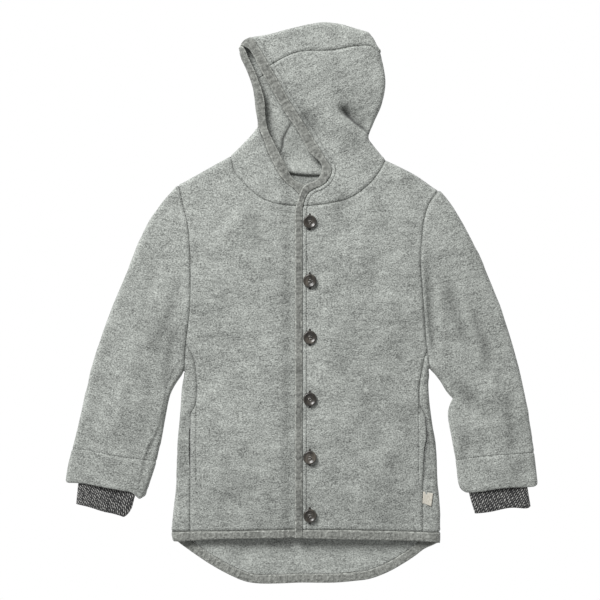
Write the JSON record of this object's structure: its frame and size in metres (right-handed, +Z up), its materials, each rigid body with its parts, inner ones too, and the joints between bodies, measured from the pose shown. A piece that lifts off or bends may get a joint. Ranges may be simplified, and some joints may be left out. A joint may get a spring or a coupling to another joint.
{
  "type": "boiled wool jacket",
  "caption": "Child's hooded boiled wool jacket laid flat and buttoned, with jersey bindings, a curved back tail and knit cuffs.",
  "frame": {"origin": "on the surface that the jacket lies on, at the middle of its outline seen from above", "axes": "+Z up from the surface, +Y towards the hood, +X towards the wearer's left sleeve"},
  "size_m": [0.614, 0.7318, 0.0266],
  "materials": {
    "wool": "boiled wool, felted, light grey melange",
    "jersey": "ribbed wool jersey, grey melange",
    "rib_knit": "rib knit, charcoal and off-white melange",
    "horn": "dark horn look, polished",
    "tape": "woven cotton tape, cream"
  },
  "bodies": {
    "root": {"back": "wool", "front_left": "wool", "front_right": "wool", "sleeve_left": "wool", "sleeve_right": "wool", "hood_left": "wool", "hood_right": "wool", "hood_centre": "wool", "binding_left": "jersey", "binding_right": "jersey", "hem_left": "jersey", "hem_right": "jersey", "hem_back": "jersey", "cuff_left": "rib_knit", "cuff_right": "rib_knit", "button_1": "horn", "button_2": "horn", "button_3": "horn", "button_4": "horn", "button_5": "horn", "button_6": "horn", "label": "tape"}
  },
  "joints": []
}
